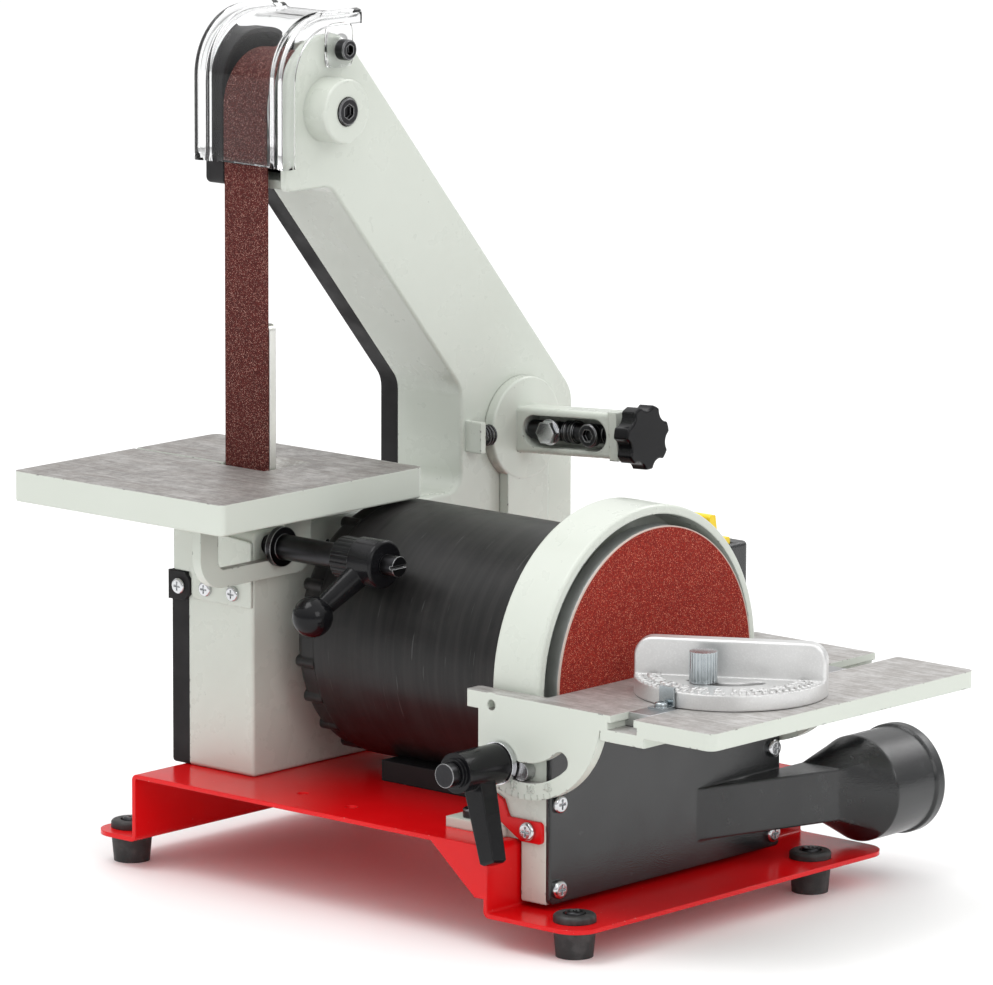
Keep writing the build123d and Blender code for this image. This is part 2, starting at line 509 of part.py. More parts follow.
nodes["motor_foot"] = saddle

# ---- disc, guard and dust chute ------------------------------------------------------------
plate = rod_x(DISC_FACE - 8.0, DISC_FACE - 0.8, MOTOR_Y, MOTOR_Z, DISC_R)
plate += rod_x(176, DISC_FACE - 7.9, MOTOR_Y, MOTOR_Z, 14)
nodes["disc_plate"] = plate - rod_x(170, 193, MOTOR_Y, MOTOR_Z, 8)
nodes["abrasive_disc"] = rod_x(DISC_FACE - 0.8, DISC_FACE, MOTOR_Y, MOTOR_Z, DISC_R)


def polar(radius, degrees):
    """Point in X and Z about the disc table's tilt axis."""
    return (DTILT_X + radius * cos(radians(degrees)), DTILT_Z + radius * sin(radians(degrees)))


LOCK_X, LOCK_Z = polar(TRUNNION_SLOT_R, LOCK_ANGLE)
GUIDE_X, GUIDE_Z = polar(TRUNNION_SLOT_R, LOCK_ANGLE + 20)


def make_disc_guard():
    ring = ring_x(GUARD_X0, RING_X1, MOTOR_Y, MOTOR_Z, RING_R, RING_R - RING_WALL)
    ring += ring_x(GUARD_X0, GUARD_X0 + WALL, MOTOR_Y, MOTOR_Z, RING_R, 15)
    ring = fillet([e for e in ring.edges().filter_by(GeomType.CIRCLE) if e.radius > RING_R - 0.1], 1.5)
    ring -= block(160, 200, -40, 130, 0, 97.5)
    outline = [(GUARD_X0, BASE_TOP), (SKIRT_X, BASE_TOP), (SKIRT_X, 17.5), (GUARD_X1, 17.5),
               (GUARD_X1, 84), (RING_X1 + 1, 84), (RING_X1, 97.5), (GUARD_X0, 97.5)]
    box = plate_y(outline, [0, 1, 1, 0, 0, 3, 0, 0], BOX_Y0, BOX_Y1)
    box -= block(GUARD_X0 + WALL, GUARD_X1 + 1, BOX_Y0 + WALL, BOX_Y1 - WALL, BASE_TOP + WALL, 93.5)
    box -= block(SKIRT_X + WALL, GUARD_X1 + 1, BOX_Y0 + WALL, BOX_Y1 - WALL, 21, BASE_TOP + 5)
    box -= block(GUARD_X0 + WALL, GUARD_X1 + 1, -22.5, 114.5, 90, 99)
    box -= rod_x(GUARD_X0 - 1, GUARD_X0 + 5, MOTOR_Y, MOTOR_Z, 15)
    box -= rod_x(SKIRT_X - 0.7, GUARD_X1 + 1, MOTOR_Y, MOTOR_Z, DISC_R + 1)
    guard = ring + box
    guard += block(150, GUARD_X0 + 1, -35, 10, BASE_TOP, BASE_TOP + 4.5)
    guard += block(146, GUARD_X0 + 1, 80, BOX_Y1, BASE_TOP, BASE_TOP + 4.5)
    guard += block(GUARD_X0, 182, -35, BOX_Y0 + 1, BASE_TOP, BASE_TOP + 4.5)
    for x, y in GUARD_BOLTS:
        guard -= rod_z(40, 50, x, y, clear(3))
    for x, z in [(LOCK_X, LOCK_Z), (GUIDE_X, GUIDE_Z)]:
        guard -= rod_y(BOX_Y0 - 1, BOX_Y0 + 5, x, z, STUD_R)
        guard -= rod_y(BOX_Y1 - 5, BOX_Y1 + 1, x, z, STUD_R)
    guard -= rod_y(BOX_Y0 - 1, BOX_Y0 + 5, POINTER_X, POINTER_Z, clear(1.5))
    return guard


POINTER_X, POINTER_Z = 195.5, 48.5
nodes["disc_guard"] = make_disc_guard()
socket_screws = [facing(x, y, BASE_TOP + 4.5, "+z") * socket_screw(5, 4, 3, 10) for x, y in GUARD_BOLTS]
guard_screw = socket_screw(4.6, 5, 2.0, 11)
socket_screws.append(facing(GUARD_MID + GUARD_HALF, GUARD_SCREW[0], GUARD_SCREW[1], "+x") * guard_screw)
nodes["socket_screws"] = group(socket_screws)

COVER_X1 = GUARD_X1 + PLATE_THICK
DUCT_X1, DUCT_Z0, DUCT_Z1 = 227.0, 29.0, 52.0
DUCT_Y0, DUCT_Y1 = 64.0, 136.0
CHUTE_SCREWS = [(-27, 24), (-27, 61), (115, 24), (115, 62)]
SHELL = 2.0


def duct_edge(y):
    """Outer face of the duct, which slants out of the cover plate."""
    return COVER_X1 + (DUCT_X1 - COVER_X1) * (y - DUCT_Y0) / (DUCT_Y1 - DUCT_Y0)


def port_body(shrink, y1):
    """Wedge-shaped duct that opens into the round port."""
    x0, x1 = COVER_X1 + shrink, DUCT_X1 - shrink
    z0, z1 = DUCT_Z0 + shrink, DUCT_Z1 - shrink
    y0 = DUCT_Y0 + 5.2 * shrink
    wedge = plate_z([(x0, y0), (x1, DUCT_Y1), (x0, DUCT_Y1)], [0, 0, 0], z0, z1)
    start = Plane(origin=(0, DUCT_Y1, 0), x_dir=(1, 0, 0), z_dir=(0, -1, 0))
    end = Plane(origin=(0, PORT_Y0, 0), x_dir=(1, 0, 0), z_dir=(0, -1, 0))
    rectangle = start * Pos((x0 + x1) / 2, (z0 + z1) / 2) * Rectangle(x1 - x0, z1 - z0)
    radius = PORT_R - 1 - shrink
    bell = loft([rectangle, end * Pos(PORT_X, PORT_Z) * Circle(radius)])
    return wedge + bell + rod_y(PORT_Y0, y1, PORT_X, PORT_Z, radius)


def make_chute():
    cover = [(BOX_Y0, 17.8), (BOX_Y1, 17.8), (BOX_Y1, 84), (BOX_Y0, 84)]
    chute = plate_x(cover, [2, 2, 2, 2], GUARD_X1, COVER_X1)
    chute += port_body(0, PORT_Y1)
    rim = rod_y(PORT_Y1 - 6, PORT_Y1, PORT_X, PORT_Z, PORT_R)
    chute += fillet(rim.edges(), 1.0)
    chute -= port_body(SHELL, PORT_Y1 + 1)
    mouth = [(GUARD_X1 - 1, 74), (COVER_X1, 74), (duct_edge(112) - 2.1, 112), (GUARD_X1 - 1, 112)]
    chute -= plate_z(mouth, [0, 0, 0, 0], DUCT_Z0 + SHELL, DUCT_Z1 - SHELL)
    for y, z in CHUTE_SCREWS:
        chute -= rod_x(GUARD_X1 - 1, GUARD_X1 + 4, y, z, clear(1.9))
    return chute


nodes["dust_chute"] = make_chute()
chute_screws = [facing(COVER_X1, y, z, "+x") * pan_screw(4.0, 2.4, 1.9, 2.4)
                for y, z in CHUTE_SCREWS]

tip = [(176.5, 62), (181, 60), (184, 53), (203, 53), (203, 43.5), (191, 43.5), (180, 50), (175, 56)]
pointer = plate_y(tip, [0, 1, 1, 2, 2, 2, 1, 1], BOX_Y0 - 1.5, BOX_Y0)
nodes["scale_pointer"] = pointer - rod_y(BOX_Y0 - 3, BOX_Y0 + 1, POINTER_X, POINTER_Z, clear(1.5))
chute_screws.append(facing(POINTER_X, BOX_Y0 - 1.5, POINTER_Z, "-y") * pan_screw(4.0, 2.4, 1.5, 5))
nodes["chute_screws"] = group(chute_screws)

# ---- disc table ---------------------------------------------------------------------------
def trunnion(y0, y1, left):
    z_top = DTABLE_TOP - DTABLE_THICK + 1
    disc = rod_y(y0, y1, DTILT_X, DTILT_Z, TRUNNION_R)
    disc &= block(left, DTILT_X + 50, y0 - 1, y1 + 1, DTILT_Z - 50, z_top)
    start = LOCK_ANGLE - 4
    arc = CenterArc((DTILT_X, DTILT_Z), TRUNNION_SLOT_R, start, 69)
    plane = Plane(origin=(0, y1 + 1, 0), x_dir=(1, 0, 0), z_dir=(0, -1, 0))
    return disc - extrude(plane * SlotArc(arc, 2 * (STUD_R + FIT)), y1 - y0 + 2)


def make_disc_table():
    z0 = DTABLE_TOP - DTABLE_THICK
    outline = [(DTABLE_X0, DTABLE_Y0), (DTABLE_X1, DTABLE_Y0), (DTABLE_X1, DTABLE_Y1),
               (176, DTABLE_Y1), (176, 122), (DTABLE_EDGE, 122), (DTABLE_EDGE, -28), (DTABLE_X0, -28)]
    table = plate_z(outline, [2, 4, 4, 2, 2, 1, 1, 2], z0, DTABLE_TOP)
    table += block(SLOT_X - 12, SLOT_X + 12, DTABLE_Y0, DTABLE_Y1, z0 - 4, z0 + 1)
    bevel = [(DTABLE_EDGE - 1, z0 - 5), (DTABLE_EDGE + DTABLE_THICK + 4.5, z0 - 5),
             (DTABLE_EDGE - 1, DTABLE_TOP - 0.5)]
    table -= plate_y(bevel, [0, 0, 0], -27.9, 121.9)
    table += trunnion(DTABLE_Y0, DTABLE_Y0 + 5, 170.4) + trunnion(122, 127, 176)
    table += rod_y(DTABLE_Y0, DTABLE_Y0 + 5, 177.7, 100.5, 6.0)
    table -= rod_y(DTABLE_Y0 - 1, DTABLE_Y0 + 4, 177.7, 101, 2.3)
    table -= block(SLOT_X - 6.25, SLOT_X + 6.25, DTABLE_Y0 - 5, DTABLE_Y1 + 5, 102.8, 110)
    return table - block(SLOT_X - 8, SLOT_X + 8, DTABLE_Y0 - 5, DTABLE_Y1 + 5, 99.8, 102.9)


nodes["disc_table"] = make_disc_table()


def tee_lever(y_face, out):
    """Clamping lever on the lock stud; out is -1 at the front and +1 at the back."""
    def run(a, b, r):
        return rod_y(min(y_face + out * a, y_face + out * b), max(y_face + out * a, y_face + out * b),
                     LOCK_X, LOCK_Z, r)
    lever = run(3.6, 29, 8.7) + run(28, 31, 6.4)
    root = Vector(LOCK_X, y_face + out * 15.5, LOCK_Z)
    lean = radians(LEVER_LEAN if out < 0 else REAR_LEAN)
    end = root + Vector(LEVER_LONG * sin(lean), out * 6.5, -LEVER_LONG * cos(lean))
    along = (end - root).normalized()
    across = Vector(cos(lean), 0, sin(lean))
    sections = [Plane(origin=root, x_dir=across, z_dir=along) * Rectangle(10.5, 9.6),
                Plane(origin=end, x_dir=across, z_dir=along) * Rectangle(8.0, 7.6)]
    arm = loft(sections, ruled=True)
    arm = chamfer(arm.faces().sort_by(Axis.Z if out < 0 else Axis.X)[0 if out < 0 else -1].edges(), 1.0)
    return lever + arm - run(0, 60, STUD_R + RUN)


def span_y(a, b, x, z, r):
    return rod_y(min(a, b), max(a, b), x, z, r)


def lock_bolt(y_wall, y_face, out):
    """Clamping bolt from the housing wall to the slotted head outside the lever."""
    head = span_y(y_face + out * 31.4, y_face + out * 36, LOCK_X, LOCK_Z, 5.2)
    return head + span_y(y_wall - out * 6, y_face + out * 32, LOCK_X, LOCK_Z, STUD_R)


def lock_washer(y_face, out):
    washer = span_y(y_face + out * 0.4, y_face + out * 3.2, LOCK_X, LOCK_Z, 9.3)
    return washer - span_y(y_face, y_face + out * 4, LOCK_X, LOCK_Z, STUD_R)


# each end of the disc table: housing wall, outer face of the trunnion, outward direction
LOCKS = [(BOX_Y0, DTABLE_Y0, -1), (BOX_Y1, 127, 1)]
nodes["disc_lock_bolts"] = group(lock_bolt(*lock) for lock in LOCKS)
nodes["disc_lock_washers"] = group(lock_washer(face, out) for wall, face, out in LOCKS)
nodes["disc_guide_pins"] = group(
    span_y(wall - out * 4, face - out * 0.5, GUIDE_X, GUIDE_Z, STUD_R) for wall, face, out in LOCKS)
nodes["disc_lever_front"] = tee_lever(DTABLE_Y0, -1)
nodes["disc_lever_rear"] = tee_lever(127, 1)

# ---- miter gauge --------------------------------------------------------------------------
LOCK_Y = MITER_Y - MITER_LOCK
BAR_Y0, BAR_Y1 = -26.0, 104.0
INDEX_Y = MITER_Y - MITER_R - 4.5
bar = block(SLOT_X - 5.95, SLOT_X + 5.95, BAR_Y0, BAR_Y1, 102.5, DTABLE_TOP)
bar += block(SLOT_X - 7.7, SLOT_X + 7.7, BAR_Y0, BAR_Y1, 100.1, 102.6)
for y, r in [(MITER_Y, 3.0), (LOCK_Y, 3.0), (INDEX_Y, clear(1.5))]:
    bar -= rod_z(103, 110, SLOT_X, y, r)
nodes["miter_bar"] = bar
HEAD_Z0, HEAD_Z1, FENCE_Z1 = DTABLE_TOP + FIT, DTABLE_TOP + 7.0, DTABLE_TOP + 23.0
FENCE_Y0, FENCE_Y1 = -4.2, 2.6    # fence faces, measured from the pivot


def make_miter_head():
    half_disc = rod_z(HEAD_Z0, HEAD_Z1, 0, 0, MITER_R)
    half_disc &= block(-50, 50, -50, FENCE_Y1, 0, 200)
    fence = block(-MITER_R, MITER_R, FENCE_Y0, FENCE_Y1, HEAD_Z0, FENCE_Z1)
    top_corners = [e for e in fence.edges().filter_by(Axis.Y) if e.center().Z > FENCE_Z1 - 1]
    fence = fillet(top_corners, 8)
    fence = fillet(fence.faces().sort_by(Axis.Y)[0].outer_wire().edges(), 1.2)
    head = half_disc + fence
    sweep_angle = 2 * (MITER_SWING + 2)
    track = CenterArc((0, 0), MITER_LOCK, -90 - sweep_angle / 2, sweep_angle)
    head -= extrude(Plane.XY.offset(HEAD_Z0 - 1) * SlotArc(track, 2 * (3.0 + FIT)), 12)
    head -= rod_z(90, DTABLE_TOP + 9, 0, 0, 3.0 + RUN)
    return Pos(SLOT_X, MITER_Y, 0) * Rot(0, 0, MITER_REST) * head


nodes["miter_head"] = make_miter_head()
nodes["miter_studs"] = group([rod_z(103, DTABLE_TOP + 8.5, SLOT_X, MITER_Y, 3.0),
                              rod_z(103, HEAD_Z1 + 9, SLOT_X, LOCK_Y, 3.0)])
knob = rod_z(HEAD_Z1 + FIT, HEAD_Z1 + 13.5, SLOT_X, LOCK_Y, 6.0)
for i in range(24):
    a = radians(i * 15)
    knob -= rod_z(HEAD_Z1 - 1, HEAD_Z1 + 20, SLOT_X + 6.2 * cos(a), LOCK_Y + 6.2 * sin(a), 0.45)
nodes["miter_knob"] = knob - rod_z(90, HEAD_Z1 + 9.5, SLOT_X, LOCK_Y, 3.0 + RUN)
tab_y = MITER_Y - MITER_R - FIT
index = block(SLOT_X - 4, SLOT_X + 4, INDEX_Y - 4, tab_y, DTABLE_TOP, DTABLE_TOP + 1)
index += block(SLOT_X - 4, SLOT_X + 4, tab_y - 1, tab_y, DTABLE_TOP, DTABLE_TOP + 9)
nodes["miter_index"] = index + facing(SLOT_X, INDEX_Y, DTABLE_TOP + 1, "+z") * pan_screw(2.9, 2.0, 1.5, 3.5)

# ---- switch -------------------------------------------------------------------------------
SWITCH_Y, SWITCH_Z = 129.0, 144.5
case = block(126, 166, 98, 146.5, 118, SWITCH_Z)
case = fillet(case.edges().filter_by(Axis.Z) + case.faces().sort_by(Axis.Z)[-1].edges(), 2.0)
case -= rod_x(100, 180, MOTOR_Y, MOTOR_Z, MOTOR_R)
case -= block(141, 164.5, SWITCH_Y - 9, SWITCH_Y + 9, SWITCH_Z - 12, SWITCH_Z + 1)
case -= rod_x(139.5, 165.5, SWITCH_Y, SWITCH_Z - 4, 1.5 + RUN)
nodes["switch_case"] = case
rocker_outline = [(SWITCH_Y - 7.5, SWITCH_Z - 8), (SWITCH_Y + 7.5, SWITCH_Z - 8), (SWITCH_Y + 7, SWITCH_Z + 3),
                  (SWITCH_Y - 1, SWITCH_Z + 2), (SWITCH_Y - 3, SWITCH_Z + 14), (SWITCH_Y - 7, SWITCH_Z + 14)]
rocker = plate_x(rocker_outline, [2, 2, 1, 3, 1, 1.5], 141.5, 164.0)
nodes["switch_rocker"] = rocker + rod_x(140, 165.2, SWITCH_Y, SWITCH_Z - 4, 1.5)

# the finished part stands with its origin under the middle of its bounding box
centre = Pos(-(TABLE_X0 + DTABLE_X1) / 2, -(TABLE_Y0 + FRAME_BACK) / 2, 0)
for name, shape in nodes.items():
    export_step(centre * shape, f"parts/{name}.step")
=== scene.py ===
import bmesh
import bpy
from math import cos, pi, radians, sin
from mathutils import Matrix, Vector


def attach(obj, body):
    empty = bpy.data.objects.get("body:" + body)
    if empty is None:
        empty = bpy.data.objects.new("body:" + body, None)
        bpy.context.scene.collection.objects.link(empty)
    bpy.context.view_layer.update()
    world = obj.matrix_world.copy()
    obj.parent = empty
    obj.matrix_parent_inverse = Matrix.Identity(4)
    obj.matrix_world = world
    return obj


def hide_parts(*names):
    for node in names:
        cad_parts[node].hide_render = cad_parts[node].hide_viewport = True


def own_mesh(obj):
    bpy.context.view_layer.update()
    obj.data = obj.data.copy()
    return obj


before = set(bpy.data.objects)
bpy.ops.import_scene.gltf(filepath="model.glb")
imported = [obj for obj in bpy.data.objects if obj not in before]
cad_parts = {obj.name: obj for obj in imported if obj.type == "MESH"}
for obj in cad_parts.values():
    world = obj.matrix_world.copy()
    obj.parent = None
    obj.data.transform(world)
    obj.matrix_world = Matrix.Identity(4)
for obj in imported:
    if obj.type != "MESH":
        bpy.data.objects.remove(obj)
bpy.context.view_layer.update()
MM = 0.001


# ---- building blocks for materials ----------------------------------------------------
class Shader:
    """One node material, built step by step around a Principled shader."""

    def __init__(self, name, **values):
        self.material = bpy.data.materials.new(name)
        self.material.use_nodes = True
        self.tree = self.material.node_tree
        self.bsdf = self.tree.nodes["Principled BSDF"]
        self.place = self.add("ShaderNodeTexCoord").outputs["Object"]
        for socket, value in values.items():
            self.bsdf.inputs[socket.replace("_", " ")].default_value = value

    def add(self, kind, settings=None, **inputs):
        node = self.tree.nodes.new(kind)
        for key, value in (settings or {}).items():
            setattr(node, key, value)
        for key, value in inputs.items():
            self.feed(node.inputs[key.replace("_", " ")], value)
        return node

    def feed(self, socket, value):
        if isinstance(value, bpy.types.NodeSocket):
            self.tree.links.new(value, socket)
        else:
            socket.default_value = value

    def stretched(self, scale):
        """Object coordinates multiplied along each axis."""
        return self.add("ShaderNodeMapping", Vector=self.place, Scale=scale).outputs["Vector"]

    def noise(self, scale, detail=4.0, roughness=0.55, vector=None):
        node = self.add("ShaderNodeTexNoise", Vector=vector or self.place, Scale=scale,
                        Detail=detail, Roughness=roughness)
        return node.outputs["Fac"]

    def cells(self, scale):
        return self.add("ShaderNodeTexVoronoi", {"feature": "F1"}, Vector=self.place, Scale=scale)

    def between(self, value, low, high, start=0.0, end=1.0):
        """Smooth step from start to end while value goes from low to high."""
        node = self.add("ShaderNodeMapRange", {"interpolation_type": "SMOOTHSTEP"}, Value=value)
        for key, number in zip(("From Min", "From Max", "To Min", "To Max"), (low, high, start, end)):
            node.inputs[key].default_value = number
        return node.outputs["Result"]

    def math(self, operation, a, b=0.0):
        node = self.add("ShaderNodeMath", {"operation": operation})
        self.feed(node.inputs[0], a)
        self.feed(node.inputs[1], b)
        return node.outputs[0]

    def mix(self, factor, a, b):
        node = self.add("ShaderNodeMix", {"data_type": "RGBA"})
        self.feed(node.inputs["Factor"], factor)
        self.feed(node.inputs[6], a if isinstance(a, bpy.types.NodeSocket) else (*a, 1.0))
        self.feed(node.inputs[7], b if isinstance(b, bpy.types.NodeSocket) else (*b, 1.0))
        return node.outputs[2]

    def blend(self, factor, a, b):
        node = self.add("ShaderNodeMix", {"data_type": "FLOAT"})
        self.feed(node.inputs["Factor"], factor)
        self.feed(node.inputs[2], a)
        self.feed(node.inputs[3], b)
        return node.outputs[0]

    def rounded(self, radius):
        """Normal with its hard edges rounded."""
        return self.add("ShaderNodeBevel", {"samples": 6}, Radius=radius).outputs["Normal"]

    def edges(self, radius):
        """Mask that is 1 along edges and 0 on flat stretches."""
        soft = self.rounded(radius)
        true = self.add("ShaderNodeNewGeometry").outputs["Normal"]
        dot = self.add("ShaderNodeVectorMath", {"operation": "DOT_PRODUCT"})
        self.feed(dot.inputs[0], soft)
        self.feed(dot.inputs[1], true)
        return self.between(self.math("SUBTRACT", 1.0, dot.outputs["Value"]), 0.002, 0.06)

    def bump(self, height, depth, normal=None):
        node = self.add("ShaderNodeBump", Height=height, Strength=1.0, Distance=depth)
        if normal is not None:
            self.feed(node.inputs["Normal"], normal)
        return node.outputs["Normal"]

    def finish(self, colour=None, roughness=None, normal=None, metallic=None):
        for socket, value in (("Base Color", colour), ("Roughness", roughness),
                              ("Normal", normal), ("Metallic", metallic)):
            if value is not None:
                self.feed(self.bsdf.inputs[socket], value)
        return self.material


def paint(name, colour, shade, gloss=0.3, peel=420.0, depth=0.00002, bare=(0.20, 0.20, 0.19), chips=0.62,
          corner=0.0012, coat=0.25, specular=0.4):
    """Enamel or powder coat: orange peel, faint clouds, and chips worn through along the edges."""
    s = Shader(name, Coat_Weight=coat, Coat_Roughness=0.10, Specular_IOR_Level=specular)
    tone = s.mix(s.between(s.noise(9.0, 3.0), 0.3, 0.75), colour, shade)
    grime = s.math("MULTIPLY", s.between(s.noise(420.0, 3.0, 0.6), 0.70, 0.76), 0.30)
    tone = s.mix(grime, tone, bare)
    edge = s.edges(corner)
    chip = s.math("MULTIPLY", edge, s.between(s.noise(300.0, 5.0), chips, chips + 0.03))
    tone = s.mix(chip, tone, bare)
    rough = s.blend(s.between(s.noise(60.0, 4.0), 0.3, 0.75), gloss * 0.8, gloss * 1.35)
    height = s.math("SUBTRACT", s.noise(peel, 2.0), chip)
    return s.finish(tone, rough, s.bump(height, depth, s.rounded(corner)))


def plastic(name, colour, shade, rough=0.42, grain=1600.0, depth=0.00005, corner=0.0008, dust=0.2,
            specular=0.25, film=(0.10, 0.10, 0.10)):
    """Moulded plastic: fine spark-eroded grain, edges polished by handling, a little dust."""
    s = Shader(name, Specular_IOR_Level=specular)
    tone = s.mix(s.between(s.noise(30.0, 4.0), 0.35, 0.72), colour, shade)
    haze = s.math("MULTIPLY", s.between(s.noise(120.0, 6.0, 0.7), 0.52, 0.8), dust)
    tone = s.mix(haze, tone, film)
    edge = s.edges(corner)
    base = s.blend(s.between(s.noise(45.0, 3.0), 0.3, 0.7), rough * 0.85, rough * 1.25)
    smooth = s.blend(edge, base, rough * 0.6)
    height = s.blend(edge, s.cells(grain).outputs["Distance"], 0.4)
    return s.finish(tone, smooth, s.bump(height, depth, s.rounded(corner)))


def motor_enamel(name):
    """Satin black enamel with drawn streaks round the shell, dust and a few scratches."""
    s = Shader(name, Specular_IOR_Level=0.25)
    streak = s.noise(1.0, 4.0, 0.6, s.stretched((260.0, 14.0, 14.0)))
    dust = s.between(s.noise(26.0, 6.0, 0.65), 0.45, 0.8)
    scratch = s.between(s.noise(1.0, 2.0, 0.5, s.stretched((700.0, 40.0, 40.0))), 0.70, 0.74)
    tone = s.mix(s.between(streak, 0.35, 0.7), (0.010, 0.010, 0.010), (0.019, 0.018, 0.018))
    tone = s.mix(s.math("MULTIPLY", dust, 0.35), tone, (0.050, 0.046, 0.044))
    tone = s.mix(s.math("MULTIPLY", scratch, 0.30), tone, (0.10, 0.10, 0.10))
    rough = s.blend(dust, 0.34, 0.58)
    return s.finish(tone, rough, s.bump(streak, 0.00003, s.rounded(0.0015)))


def metal(name, colour, shade, rough=0.3, brush=None, corner=0.0004, depth=0.00001):
    """Plated, oxided or machined metal; brush stretches the marks along an axis."""
    s = Shader(name, Metallic=1.0)
    cloud = s.noise(70.0, 5.0, 0.65)
    tone = s.mix(s.between(cloud, 0.4, 0.72, 0.0, 0.5), colour, shade)
    tone = s.mix(s.math("MULTIPLY", s.edges(corner * 2.0), 0.35), tone, (0.85, 0.86, 0.87))
    marks = s.noise(1.0, 3.0, 0.6, s.stretched(brush or (900.0, 900.0, 900.0)))
    smooth = s.blend(marks, rough * 0.75, rough * 1.4)
    return s.finish(tone, smooth, s.bump(marks, depth, s.rounded(corner)))


def abrasive(name, grain, dark, light, scale=2600.0, axis=None, radius=1.0, worn=0.25):
    """Grit in resin: crushed grains of uneven size, some bright, with a pale cut edge on a disc."""
    s = Shader(name, Specular_IOR_Level=0.2)
    coarse = s.cells(scale)
    fine = s.cells(scale * 1.9)
    tint = s.add("ShaderNodeSeparateColor", Color=coarse.outputs["Color"]).outputs["Red"]
    tint2 = s.add("ShaderNodeSeparateColor", Color=fine.outputs["Color"]).outputs["Green"]
    tone = s.mix(s.between(tint, 0.1, 0.9), dark, grain)
    tone = s.mix(s.between(tint2, 0.90, 0.97), tone, light)
    tone = s.mix(s.between(s.noise(380.0, 3.0), 0.5, 0.75, 0.0, 0.55), tone, dark)
    tone = s.mix(s.between(s.noise(12.0, 3.0), 0.4, 0.75, 0.0, worn), tone, grain)
    if axis is not None:
        parts = s.add("ShaderNodeSeparateXYZ", Vector=s.place)
        across = s.math("SUBTRACT", parts.outputs["Y"], axis.y)
        above = s.math("SUBTRACT", parts.outputs["Z"], axis.z)
        square = s.math("ADD", s.math("MULTIPLY", across, across), s.math("MULTIPLY", above, above))
        out = s.math("SQRT", square)
        tone = s.mix(s.between(out, radius - 0.0007, radius - 0.0003), tone, (0.62, 0.50, 0.44))
    height = s.math("ADD", s.math("MULTIPLY", coarse.outputs["Distance"], -1.0),
                    s.math("MULTIPLY", fine.outputs["Distance"], -0.5))
    rough = s.between(tint2, 0.8, 0.95, 0.8, 0.4)
    return s.finish(tone, rough, s.bump(height, 0.00022))


def ground_casting(name, colour, shade, bright, dull, stained):
    """Painted casting whose upward faces are ground bare, with grinding lines and light staining."""
    s = Shader(name, Specular_IOR_Level=0.4)
    facing = s.add("ShaderNodeSeparateXYZ", Vector=s.add("ShaderNodeTexCoord").outputs["Normal"])
    bare = s.between(facing.outputs["Z"], 0.55, 0.75)
    lines = s.noise(1.0, 5.0, 0.75, s.stretched((45.0, 1500.0, 45.0)))
    haze = s.noise(110.0, 8.0, 0.75)
    stain = s.noise(1.0, 8.0, 0.75, s.stretched((55.0, 420.0, 60.0)))
    steel = s.mix(s.between(haze, 0.36, 0.62), bright, dull)
    steel = s.mix(s.between(stain, 0.42, 0.62, 0.0, stained), steel, (0.260, 0.230, 0.210))
    steel = s.mix(s.between(lines, 0.50, 0.66, 0.0, 0.6), steel, (0.72, 0.71, 0.70))
    steel = s.mix(s.between(lines, 0.46, 0.34, 0.0, 0.5), steel, (0.20, 0.19, 0.185))
    coat = s.mix(s.between(s.noise(9.0, 3.0), 0.3, 0.75), colour, shade)
    chip = s.math("MULTIPLY", s.edges(0.0010), s.between(s.noise(300.0, 5.0), 0.60, 0.63))
    coat = s.mix(chip, coat, (0.16, 0.16, 0.15))
    rough = s.blend(bare, s.blend(haze, 0.26, 0.42), s.blend(haze, 0.36, 0.60))
    height = s.blend(bare, s.noise(420.0, 2.0), lines)
    shine = s.blend(bare, 0.0, 0.7)
    return s.finish(s.mix(bare, coat, steel), rough, s.bump(height, 0.00002, s.rounded(0.0006)), shine)


def cast_aluminium(name, colour, shade):
    """Shot-blasted die casting with bright specks."""
    s = Shader(name, Metallic=0.9)
    speck = s.cells(1500.0)
    tint = s.add("ShaderNodeSeparateColor", Color=speck.outputs["Color"]).outputs["Blue"]
    glint = s.between(tint, 0.6, 1.0)
    tone = s.mix(s.between(s.noise(40.0, 4.0), 0.3, 0.75), colour, shade)
    tone = s.mix(s.math("MULTIPLY", glint, 0.15), tone, (0.90, 0.90, 0.90))
    rough = s.blend(glint, 0.46, 0.38)
    return s.finish(tone, rough, s.bump(speck.outputs["Distance"], 0.00003, s.rounded(0.0012)))


def clear_plastic(name):
    """Clear sheet, lightly scuffed, bending light less than real plastic so the belt shows through."""
    s = Shader(name, Transmission_Weight=1.0, IOR=1.24)
    s.bsdf.inputs["Base Color"].default_value = (0.99, 0.995, 0.995, 1.0)
    scuff = s.between(s.noise(160.0, 6.0, 0.75), 0.60, 0.8)
    rough = s.blend(scuff, 0.0, 0.06)
    return s.finish(None, rough, s.bump(s.noise(35.0, 2.0), 0.00004))


def rubber(name):
    """Moulded black rubber with a dusty bloom."""
    s = Shader(name)
    tone = s.mix(s.between(s.noise(160.0, 5.0), 0.4, 0.75), (0.018, 0.018, 0.018), (0.05, 0.05, 0.05))
    rough = s.blend(s.noise(90.0, 3.0), 0.45, 0.7)
    return s.finish(tone, rough, s.bump(s.noise(1800.0, 3.0), 0.00005, s.rounded(0.0008)))


